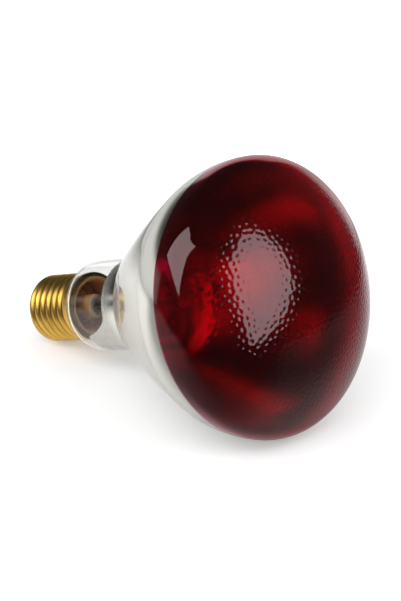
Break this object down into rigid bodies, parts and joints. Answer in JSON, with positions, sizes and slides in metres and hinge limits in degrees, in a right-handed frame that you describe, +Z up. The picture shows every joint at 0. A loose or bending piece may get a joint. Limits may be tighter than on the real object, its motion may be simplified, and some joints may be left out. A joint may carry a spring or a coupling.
{
  "type": "infrared heat lamp bulb",
  "caption": "Infrared reflector heat lamp: blown bulb with stippled ruby face, silvered bowl and clear neck, with filament mount inside and a brass screw cap.",
  "frame": {"origin": "centre of the lying lamp's box, on the surface that it lies on", "axes": "+Z up, +X towards the face along the lamp's length, +Y across; the lamp's own axis rises towards the face in the XZ plane"},
  "size_m": [0.1436, 0.095, 0.0929],
  "materials": {
    "bulb_glass": "blown glass, ruby stain on a stippled face, silvered bowl, clear neck",
    "clear_glass": "clear",
    "shield_sheet": "rolled, satin",
    "lead_wire": "copper-clad drawn wire",
    "tungsten": "coiled wire",
    "support_wire": "drawn wire",
    "cap_brass": "rolled, bright",
    "black_glass": "pressed, glossy",
    "solder": "satin",
    "cement": "baked, matt"
  },
  "bodies": {
    "root": {"glass_envelope": "bulb_glass", "glass_stem": "clear_glass", "heat_shield": "shield_sheet", "centre_lead": "lead_wire", "rim_lead": "lead_wire", "filament": "tungsten", "support_wire_1": "support_wire", "support_wire_2": "support_wire", "support_wire_3": "support_wire", "screw_shell": "cap_brass", "insulator": "black_glass", "centre_contact": "cap_brass", "contact_solder": "solder", "rim_solder": "solder", "basing_cement": "cement"}
  },
  "joints": []
}
